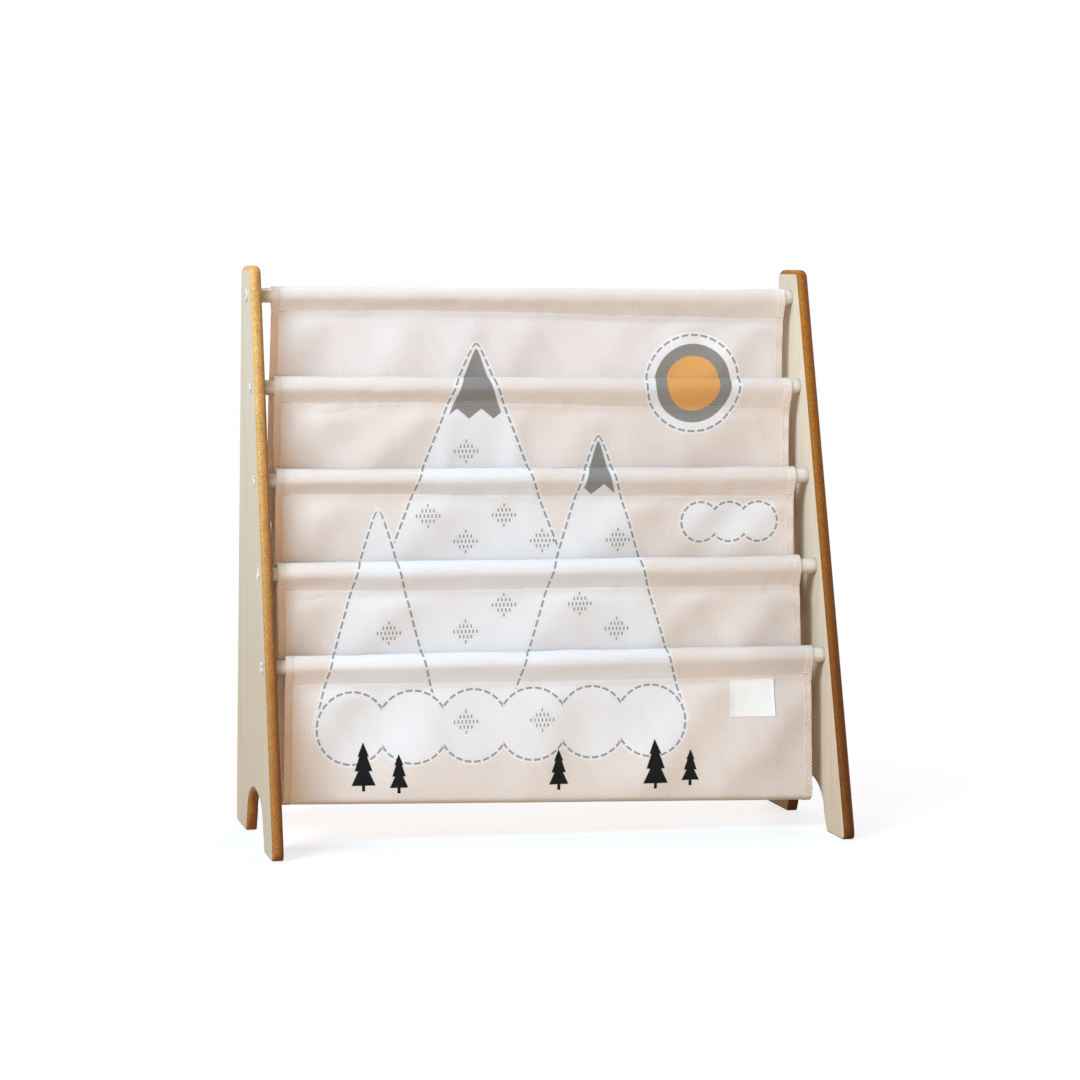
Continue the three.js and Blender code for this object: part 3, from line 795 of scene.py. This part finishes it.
def label_material():
    """Close-woven white satin tape, left blank."""
    material, tree, shader = new_material("label_tape", 0.3, Roughness=0.7, **LABEL_SHEEN)
    tape_place = map_place(tree, WEAVE_MAP)
    across, along, _ = parts_of(tape_place)
    ribs = ripples(along, LABEL_RIB) * 0.5 + 0.5
    cross = (across * (math.tau / LABEL_CROSS_RIB) + ribs * 2).sine() * 0.5 + 0.5
    slub = noise_field(tape_place, 700)
    colour = (ribs * 0.35 + slub * 0.4).mix(srgb(230, 228, 226), srgb(216, 214, 212))
    surface(tree, shader, colour, ribs + cross * 0.5 + slub * 0.5, LABEL_RELIEF, 0.5)
    return material


# The sling's sheets.
def fold(rod_index, across, drop, reach):
    """The main soft folds, shared by the two sheets that hang from one rod."""
    down = np.clip((drop - SEAM_DROP) / (reach - SEAM_DROP), 0, 1)
    turn = math.tau * (across + FOLD_LEAN * down) + FOLD_TURN_PER_ROD * rod_index
    return FOLD_DEPTH * np.sin(math.pi * down) * np.sin(turn)


def seam_lip(drop):
    """The cloth stands a little proud just below a seam, over the folded edge inside."""
    return SEAM_LIP * hump(drop - SEAM_DROP - 1.2 * SEAM_LIP_REACH, SEAM_LIP_REACH)


def sleeve_path(rod_index, across):
    """The middle of a sewn sleeve: up behind the rod, over it and down to the seam. Rows of (y, z). Its top
    stands off the rod."""
    y, z = rods[rod_index]
    stand = np.interp(across, [-1, 1], SLEEVE_STANDS[rod_index]) * MM
    reach = math.hypot(LAYER_OFFSET, SEAM_DROP)
    spread = math.acos(sleeve_radius / reach)
    lean = math.atan2(LAYER_OFFSET, SEAM_DROP)
    turn = np.linspace(-math.pi / 2 + lean + spread, 1.5 * math.pi - lean - spread, SLEEVE_ROWS)
    ring = np.column_stack([y + sleeve_radius * np.cos(turn), z + sleeve_radius * np.sin(turn)])
    ring[:, 1] += stand * np.clip(np.sin(turn), 0, 1) ** 2
    wall = np.linspace(0, 1, WALL_ROWS)[:, None]
    rear = np.array([y + LAYER_OFFSET, z - SEAM_DROP])
    front = np.array([y - LAYER_OFFSET, z - SEAM_DROP])
    tail = rear - np.array([(0, SEAM_TAIL), (0, SEAM_TAIL / 2)])
    rise = rear + (ring[0] - rear) * wall
    fall = ring[-1] + (front - ring[-1]) * wall
    return np.vstack([tail, rise[:-1], ring, fall[1:]])


def pocket_path(index, across):
    """One pocket's cloth at a place across the shelf, -1 at the left and 1 at the right, as rows of (y, z),
    with the numbers of rows in its sections: sleeve, back sheet, bottom, front sheet and front sleeve."""
    upper, lower = rods[index], rods[index + 1]
    first, last = index == 0, index == pocket_count - 1
    turn_z = lower[1] - POCKET_DROP - HANG_SKEW * across + POCKET_ROUND
    back_length, front_length = upper[1] - turn_z, lower[1] - turn_z
    swell = 1 - END_EASE * across * across
    back_belly = (TOP_POCKET_BELLY if first else BACK_BELLY) * swell
    belly_start = SEAM_DROP if first else BACK_BELLY_START
    drop = np.append(SEAM_DROP + LIP_ROWS, np.linspace(SEAM_DROP + LIP_END, back_length, BACK_ROWS))
    folds = fold(index, across, drop, front_length)
    out = back_belly * smoothstep(drop, belly_start, back_length) + folds - seam_lip(drop)
    back = np.column_stack([upper[0] - LAYER_OFFSET + out, upper[1] - drop])
    top_drop = SEAM_DROP + (0 if last else LAP_DROP)
    drop = np.append(np.linspace(front_length, top_drop + LIP_END, FRONT_ROWS), top_drop + LIP_ROWS[::-1])
    drop = drop if last else np.append(drop, top_drop)
    out = fold(index + 1, across, drop, front_length)
    if last:
        out = out - FRONT_BELLY * swell * smoothstep(drop, SEAM_DROP, front_length) - seam_lip(drop)
    front_y = lower[0] + (-LAYER_OFFSET if last else LAP_OFFSET)
    front = np.column_stack([front_y + out, lower[1] - drop])
    middle, half_gap = (back[-1][0] + front[0][0]) / 2, (back[-1][0] - front[0][0]) / 2
    turn = np.linspace(0, math.pi, BOTTOM_ROWS + 2)[1:-1]
    ahead, down = np.cos(turn), np.sin(turn)
    bottom = np.column_stack([
        middle + half_gap * np.sign(ahead) * np.abs(ahead) ** BOTTOM_SQUARENESS,
        turn_z - POCKET_ROUND * down ** BOTTOM_SQUARENESS,
    ])
    sections = [sleeve_path(index, across), back, bottom, front]
    if last:
        sections.append(sleeve_path(index + 1, across)[::-1])
    return np.vstack(sections), [len(s) for s in sections]


def station_places():
    """Places across the cloth from 0 to its width: close together at the hems, even between them."""
    middle = np.linspace(MIDDLE_START, cloth_width - MIDDLE_START, MIDDLE_STATIONS)
    return np.concatenate([HEM_STATIONS, middle, cloth_width - HEM_STATIONS[::-1]])


def thickness_at(from_edge):
    """The doubled hem is thicker than the cloth, rounded at its fold and drawn in by its stitches."""
    hem = 1 - smoothstep(from_edge, HEM_WIDTH - HEM_STEP, HEM_WIDTH + HEM_STEP)
    body = CLOTH_THICKNESS + (HEM_THICKNESS - CLOTH_THICKNESS) * hem
    sunk = STITCH_SINK * hump(from_edge - HEM_STITCH_INSET, STITCH_SINK_REACH)
    fold_round = np.sqrt(np.clip(1 - ((HEM_EDGE - from_edge) / HEM_EDGE) ** 2, 0.05, 1))
    return (body - sunk) * np.where(from_edge < HEM_EDGE, fold_round, 1)


def crinkle(x, z, seed):
    """Fine slanting creases, as a depth."""
    slanted_x, slanted_z = (x + 0.55 * z) * 30, (z - 0.3 * x) * 12
    broad = noise.noise(Vector((slanted_x, slanted_z, seed)))
    fine = noise.noise(Vector((slanted_x * 2.4, slanted_z * 2.1, seed + 7.3)))
    return CRINKLE_DEPTH * (0.75 * broad + 0.3 * fine)


def pulled_folds(rod_index, x, z):
    """Ridges that the weight pulls into the sheets below a rod, as a depth towards the front."""
    depth = np.zeros(x.shape)
    for values in PULLED_FOLDS[rod_index]:
        x1, z1, x2, z2, width, height = (value * MM for value in values)
        run_x, run_z = x2 - x1, z2 - z1
        share = np.clip(((x - x1) * run_x + (z - z1) * run_z) / (run_x ** 2 + run_z ** 2), 0, 1)
        depth += height * hump(np.hypot(x - x1 - share * run_x, z - z1 - share * run_z), width)
    return depth


def relief(rod_index, x, z):
    """How far the sheets that hang from one rod swell to the front."""
    fine = np.array([crinkle(a, b, rod_index * 3.1) for a, b in zip(x.ravel(), z.ravel())])
    return pulled_folds(rod_index, x, z) + fine.reshape(x.shape)


def seam_sag(rod_index, x):
    """How far a seam runs below its even line."""
    places = np.linspace(-cloth_width / 2, cloth_width / 2, len(SEAM_SAGS[rod_index]))
    broad = noise.noise(Vector((x * 22, rod_index * 4.1, 0.5)))
    fine = noise.noise(Vector((x * 60, rod_index * 4.1, 8.5)))
    return np.interp(x, places, SEAM_SAGS[rod_index]) * MM + SEAM_WAVE * (broad + 0.4 * fine)


def pucker(x, s, seed):
    """Short upright ripples beside a seam."""
    return noise.noise(Vector((x * 95, s * 12, seed))) * PUCKER_DEPTH


def slackness(x, s, seed):
    """How far the sleeve stands off its rod."""
    broad = noise.noise(Vector((x * 16, s * 34, seed + 3.3)))
    fine = noise.noise(Vector((x * 60 + s * 40, s * 50, seed + 9.1)))
    return max(SLEEVE_WAVE * (0.35 + 0.9 * broad + 0.35 * fine), SLEEVE_SINK)


class Sheet:
    """One pocket's cloth as a grid: stations across, rows along the path, with its two skins."""

    def __init__(self, index):
        self.index = index
        self.last = index == pocket_count - 1
        places = station_places()
        self.from_edge = np.minimum(places, cloth_width - places)
        self.across_place = places - cloth_width / 2
        across = 2 * places / cloth_width - 1
        paths = [pocket_path(index, a) for a in across]
        self.line = np.array([path for path, _ in paths])
        self.starts = [0, *np.cumsum(paths[0][1]).tolist()]
        self.hanging = slice(self.starts[1], self.starts[4])
        self.bottom = (self.starts[2] + self.starts[3]) // 2
        self.seams = [self.starts[1] - 1] + ([self.starts[4]] if self.last else [])
        steps = np.linalg.norm(np.diff(self.line, axis=1), axis=2)
        self.s = np.concatenate([np.zeros((len(places), 1)), np.cumsum(steps, axis=1)], axis=1)
        self.length = float(self.s.mean(axis=0)[-1])
        self.x = self.across_x(across)
        self.normal = self.normals()
        self.add_relief()
        self.add_sags()
        self.normal = self.normals()

    def across_x(self, across):
        """Places across the shelf: the sleeves' own shifts, and the pocket flaring between them."""
        share = np.linspace(0, 1, self.line.shape[1])
        left, right = (np.interp(share, [0, 1], shifts[self.index:self.index + 2])
                       for shifts in (LEFT_SHIFTS, RIGHT_SHIFTS))
        along = self.s.mean(axis=0)
        from_seam = np.minimum(along - along[self.starts[1] - 1], along[self.starts[4] - 1] - along)
        flare = HANG_FLARE * smoothstep(from_seam, 0, FLARE_DROP)
        drift = (TOP_POCKET_DRIFT if self.index == 0 else 0) * np.sqrt(np.clip(from_seam / FLARE_DROP, 0, 1))
        to_right = ((1 + across) / 2)[:, None]
        shift = left * (1 - to_right) + right * to_right + flare * across[:, None] + drift
        return self.across_place[:, None] + shift

    def normals(self):
        """The right-hand normal of each path, in the Y-Z plane: outwards on the sleeve and back sheet."""
        along = np.gradient(self.line, axis=1)
        along /= np.linalg.norm(along, axis=2, keepdims=True)
        return np.stack([along[..., 1], -along[..., 0]], axis=2)

    def away(self, row):
        """Distance along the cloth from a row."""
        return np.abs(self.s - self.s[:, row][:, None])

    def add_relief(self):
        """Folds and creases on the hanging sheets, puckers at the seams, and waves on the sleeves."""
        hanging = self.hanging
        x, z = self.x[:, hanging], self.line[:, hanging, 1]
        rows = np.arange(hanging.start, hanging.stop)
        turned = np.clip((rows - self.starts[2]) / (self.starts[3] - self.starts[2]), 0, 1)
        depth = relief(self.index, x, z) * (1 - turned) + relief(self.index + 1, x, z) * turned
        for row in self.seams:
            depth = depth * smoothstep(self.away(row)[:, hanging], 0, FOLD_FADE)
        self.line[:, hanging, 0] -= depth
        near = np.min([self.away(row) for row in self.seams], axis=0)
        offset = hump(near, PUCKER_REACH)
        for i, j in np.ndindex(*self.s.shape):
            place = self.x[i, j], self.s[i, j]
            offset[i, j] *= pucker(*place, self.index * 5.7)
            if not hanging.start <= j < hanging.stop and near[i, j] > 0:
                offset[i, j] += slackness(*place, self.index * 2.9) * min(1.0, near[i, j] / SLEEVE_WAVE_FADE)
        self.line = self.line + self.normal * offset[..., None]

    def add_sags(self):
        """The seams' sags, and the fullness of the folded edges in them."""
        upper, lower = self.index, self.index + 1
        pulled = [(upper, 1), (upper, self.seams[0])]
        pulled += [(lower, self.seams[1]), (lower, -2)] if self.last else [(lower, -1)]
        for rod_index, row in pulled:
            sag = np.array([seam_sag(rod_index, x) for x in self.x[:, row]])
            self.line[..., 1] -= sag[:, None] * hump(self.away(row), SEAM_PULL_REACH)
        for row in self.seams:
            self.line[..., 0] -= SEAM_FILL * hump(self.away(row), SEAM_FILL_REACH)

    def skin(self, side):
        """Points of one skin: side 1 is the right-hand one."""
        half = thickness_at(self.from_edge)[:, None, None] / 2
        return np.concatenate([self.x[..., None], self.line + self.normal * half * side], axis=2)

    def point(self, x, row, lift=0.0, side=1):
        """A point over one skin at a place across and a row, lifted off it."""
        lifted = self.skin(side)[:, row, 1:] + self.normal[:, row] * lift * side
        return Vector((x, *(np.interp(x, self.x[:, row], lifted[:, axis]) for axis in (0, 1))))

    def printed_strips(self, side):
        """Which strips between two rows carry the print on this side."""
        strips = np.arange(self.line.shape[1] - 1)
        if side < 0:
            return (strips >= self.bottom) & self.last
        seen = self.line[self.line.shape[0] // 2, 1:, 1] > rods[self.index + 1][1] - PRINT_OVERLAP
        return (strips > TAIL_ROWS) & (strips < self.starts[2]) & seen

    def print_height(self):
        """Height on the picture: the height itself, and going on upwards where a sleeve turns backwards."""
        z = self.line[..., 1].copy()
        top = int(np.argmax(z[0, :self.starts[1]]))
        z[:, :top] = z[:, [top]] + self.away(top)[:, :top]
        if self.last:
            top = self.starts[4] + int(np.argmax(z[0, self.starts[4]:]))
            z[:, top + 1:] = z[:, [top]] + self.away(top)[:, top + 1:]
        return z

    def picture(self):
        """Places on the picture. Each cloth's print is cut so that it lines up with the others' where the
        shelf is looked at from in front of its left side."""
        depth = np.full(self.line.shape[1], rods[self.index][0])
        if self.last:
            depth[self.bottom:] = rods[self.index + 1][0]
        closer = (rods[len(rods) // 2][0] - CAMERA_PLACE.y) / (depth - CAMERA_PLACE.y)
        x = CAMERA_PLACE.x + (self.x - CAMERA_PLACE.x) * closer
        z = CAMERA_PLACE.z + (self.print_height() - CAMERA_PLACE.z) * closer
        return np.stack([x, z], axis=2)


# Meshes.
def grid_faces(index, flip):
    quads = np.stack([index[:-1, :-1], index[1:, :-1], index[1:, 1:], index[:-1, 1:]], axis=-1).reshape(-1, 4)
    return quads[:, ::-1] if flip else quads


def rim_faces(line, count, flip):
    quads = np.stack([line[:-1], line[1:], line[1:] + count, line[:-1] + count], axis=1)
    return quads[:, ::-1] if flip else quads


def smooth_object(name, points, faces, materials):
    mesh = bpy.data.meshes.new(name)
    mesh.from_pydata(points, [], faces)
    mesh.polygons.foreach_set("use_smooth", np.ones(len(faces), bool))
    for material in materials:
        mesh.materials.append(material)
    mesh.update()
    return add_object(name, mesh)


def skinned_object(name, outer, inner, flip, maps, materials, sharp_angle):
    """Two skins, each a grid of points, and the rim between them, with a place on each map for each point
    of a skin."""
    count = outer.shape[0] * outer.shape[1]
    index = np.arange(count).reshape(outer.shape[:2])
    faces = [grid_faces(index, flip), grid_faces(index + count, not flip)]
    for line, turned in ((index[0], True), (index[-1], False), (index[:, 0], False), (index[:, -1], True)):
        faces.append(rim_faces(line, count, turned != flip))
    points = np.concatenate([outer.reshape(-1, 3), inner.reshape(-1, 3)])
    piece = smooth_object(name, points.tolist(), np.concatenate(faces).tolist(), materials)
    mesh = piece.data
    corners = np.empty(len(mesh.loops), int)
    mesh.loops.foreach_get("vertex_index", corners)
    for map_name, places in maps.items():
        layer = mesh.uv_layers.new(name=map_name)
        layer.data.foreach_set("uv", np.tile(places.reshape(-1, 2), (2, 1))[corners].ravel())
    mesh.set_sharp_from_angle(angle=sharp_angle)
    return piece


def sheet_object(sheet, name, materials):
    """A sheet with its maps, its hems marked, and the first material where it is printed."""
    stations, rows = sheet.s.shape
    across = np.broadcast_to(sheet.across_place[:, None], sheet.s.shape)
    maps = {PRINT_MAP: sheet.picture(), WEAVE_MAP: np.stack([across, sheet.s], axis=2)}
    piece = skinned_object(name, sheet.skin(1), sheet.skin(-1), False, maps, materials, SHEET_SHARP_ANGLE)
    mesh = piece.data
    kinds = np.ones(len(mesh.polygons), int)
    printed = np.concatenate([np.tile(sheet.printed_strips(side), stations - 1) for side in (1, -1)])
    kinds[:len(printed)][printed] = 0
    mesh.polygons.foreach_set("material_index", kinds)
    share = np.full(rows, SLEEVE_HEM_SHARE)
    share[sheet.hanging] = 1
    hem = mesh.attributes.new(HEM_ATTRIBUTE, "FLOAT", "POINT")
    hem.data.foreach_set("value", np.tile(share, 2 * stations))
    return piece


# Stitches: each a short swelling of thread from one point to another.
def add_stitch(points, faces, start, end, out, radius):
    along = (end - start).normalized()
    side = along.cross(out).normalized()
    rise = side.cross(along).normalized()
    if rise.dot(out) < 0:
        rise = -rise
    first = len(points)
    points.append(start - rise * radius)
    for share, swell in STITCH_RINGS:
        centre = start.lerp(end, share)
        for turn in range(STITCH_SIDES):
            angle = math.tau * turn / STITCH_SIDES
            offset = side * math.cos(angle) + rise * (math.sin(angle) + STITCH_RISE)
            points.append(centre + offset * radius * swell)
    last = len(points)
    points.append(end - rise * radius)
    rings = range(first + 1, last, STITCH_SIDES)
    for turn in range(STITCH_SIDES):
        following = (turn + 1) % STITCH_SIDES
        faces.append((first, rings[0] + following, rings[0] + turn))
        for a, b in zip(rings, rings[1:]):
            faces.append((a + turn, a + following, b + following, b + turn))
        faces.append((last, rings[-1] + turn, rings[-1] + following))


def stitch_line(points, faces, route, outs):
    """Even stitches along a route, a list of points. outs are outward directions, spread evenly over it."""
    lengths = [0.0]
    for a, b in zip(route, route[1:]):
        lengths.append(lengths[-1] + (b - a).length)
    flat = np.array([list(p) for p in route])

    def place(distance):
        return Vector([float(np.interp(distance, lengths, flat[:, axis])) for axis in range(3)])

    distance = STITCH_GAP
    while distance + STITCH_LENGTH < lengths[-1]:
        out = outs[min(int(distance / lengths[-1] * len(outs)), len(outs) - 1)]
        add_stitch(points, faces, place(distance), place(distance + STITCH_LENGTH), out, STITCH_RADIUS)
        distance += STITCH_LENGTH + STITCH_GAP


def sew(sheet, thread, tack_thread):
    """Seam and hem stitches of one cloth, and the bar tacks at its seams' ends."""
    stitches, tacks = ([], []), ([], [])
    lift = STITCH_RADIUS * 0.4
    seams = [(sheet.seams[0] - 1, 1)]
    hems = [(range(FIRST_STITCHED_ROW, sheet.starts[4] - 2), 1)]
    if sheet.last:
        seams.append((sheet.seams[1] + 1, -1))
        hems.append((range(sheet.bottom, sheet.line.shape[1] - TAIL_ROWS), -1))
    for row, side in seams:
        left, right = sheet.x[0, row], sheet.x[-1, row]
        places = np.linspace(left + SEAM_STITCH_INSET, right - SEAM_STITCH_INSET, SEAM_STITCH_PLACES)
        stitch_line(*stitches, [sheet.point(x, row, lift, side) for x in places], [TO_FRONT])
        for start in (left + LEFT_TACK, right - RIGHT_TACK):
            for x in np.arange(start, start + TACK_LENGTH, TACK_PITCH):
                base = sheet.point(x, row, lift * 2, side)
                low = base - Vector((0, 0, TACK_HEIGHT / 2))
                high = base + Vector((TACK_PITCH / 2, 0, TACK_HEIGHT / 2))
                add_stitch(*tacks, low, high, TO_FRONT, TACK_RADIUS)
    for run, side in hems:
        normals = [Vector((0, *(sheet.normal[0, row] * side))) for row in run]
        for station, inset in ((0, HEM_STITCH_INSET), (-1, -HEM_STITCH_INSET)):
            route = [sheet.point(sheet.x[station, row] + inset, row, lift, side) for row in run]
            stitch_line(*stitches, route, normals)
    name = f"pocket_cloth_{sheet.index + 1}"
    return [smooth_object(f"{name}_stitches", *stitches, [thread]),
            smooth_object(f"{name}_tacks", *tacks, [tack_thread])]


def add_label(sheet, material, thread):
    """A blank tape with folded sides, sewn down along them on the sheet's front."""
    low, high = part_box("label")
    front = slice(sheet.starts[3], sheet.starts[4])
    outer = sheet.skin(-1)[:, front]
    below, above = LABEL_ENDS
    heights = np.linspace(high.z - above, low.z + below, LABEL_ROWS)
    columns = np.linspace(low.x, high.x, LABEL_COLUMNS)
    grid = np.zeros((LABEL_COLUMNS, LABEL_ROWS, 3))
    for i, x in enumerate(columns):
        y_at, z_at = ([np.interp(x, sheet.x[:, front][:, row], outer[:, row, axis])
                       for row in range(outer.shape[1])] for axis in (1, 2))
        for j, z in enumerate(heights):
            grid[i, j] = (x, np.interp(z, z_at, y_at), z)
    from_side = np.minimum(columns - low.x, high.x - columns)[:, None]
    ridge = LABEL_FOLD * (1 - smoothstep(from_side, *LABEL_FOLD_WIDTH))
    top, under = grid.copy(), grid.copy()
    top[..., 1] -= LABEL_LIFT + LABEL_THICKNESS + ridge
    under[..., 1] -= LABEL_LIFT / 2
    maps = {WEAVE_MAP: grid[..., [0, 2]]}
    tape = skinned_object("label_tape", top, under, True, maps, [material], LABEL_SHARP_ANGLE)
    stitches = ([], [])
    for column in (LABEL_STITCH_COLUMN, -1 - LABEL_STITCH_COLUMN):
        stitch_line(*stitches, [Vector(place) for place in top[column]], [TO_FRONT])
    return tape, smooth_object("label_stitches", *stitches, [thread])


# Smooth shading of the turned and rounded CAD pieces, without touching their meshes.
def smoothing_group():
    group = bpy.data.node_groups.new("smooth_rounds", "GeometryNodeTree")
    for way in ("INPUT", "OUTPUT"):
        group.interface.new_socket("Geometry", in_out=way, socket_type="NodeSocketGeometry")
    shape = add_node(group, "NodeGroupInput")
    shape = add_node(group, "GeometryNodeMergeByDistance", {0: shape.outputs[0], "Distance": SMOOTH_MERGE})
    shape = add_node(group, "GeometryNodeRemoveAttribute", {0: shape.outputs[0], "Name": "custom_normal"})
    shape = add_node(group, "GeometryNodeSetShadeSmooth", {0: shape.outputs[0]}, domain="FACE")
    angle = add_node(group, "GeometryNodeInputMeshEdgeAngle").outputs["Unsigned Angle"]
    settings = {"data_type": "FLOAT", "operation": "GREATER_THAN"}
    sharp = add_node(group, "FunctionNodeCompare", {"A": angle, "B": SMOOTH_ANGLE}, **settings)
    creased = {0: shape.outputs[0], "Selection": sharp.outputs[0], "Shade Smooth": False}
    shape = add_node(group, "GeometryNodeSetShadeSmooth", creased, domain="EDGE")
    add_node(group, "NodeGroupOutput", {0: shape.outputs[0]})
    return group


def dress_frame():
    finishes = {
        "side_panel": panel_material(),
        "rod": rod_material(),
        "bolt": steel_material(),
        "insert": brass_material(),
    }
    group = smoothing_group()
    for name, node in nodes.items():
        kind = next((k for k in finishes if name.startswith(k)), None)
        if kind is None:
            continue
        node.material_slots[0].material = finishes[kind]
        node.modifiers.new("smooth_rounds", "NODES").node_group = group
        weighted = node.modifiers.new("even_faces", "WEIGHTED_NORMAL")
        weighted.mode = "FACE_AREA"
        weighted.keep_sharp = True


def hang_sling():
    printed = cloth_material("printed_canvas", True)
    plain = cloth_material("plain_canvas", False)
    thread = thread_material("sewing_thread", srgb(238, 214, 196), srgb(228, 194, 168))
    tack_thread = thread_material("tack_thread", srgb(236, 212, 178), srgb(222, 190, 150))
    for index in range(pocket_count):
        sheet = Sheet(index)
        piece = sheet_object(sheet, f"pocket_cloth_{index + 1}_canvas", [printed, plain])
        sewing = sew(sheet, thread, tack_thread)
        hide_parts(f"pocket_cloth_{index + 1}")
        for part in (piece, *sewing):
            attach(part, "root")
    tape, sewn = add_label(sheet, label_material(), thread)
    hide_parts("label")
    for part in (tape, sewn):
        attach(part, "root")


bpy.context.scene.view_settings.view_transform = "Standard"
add_camera()
add_world()
add_floor()
add_lamps()
dress_frame()
hang_sling()
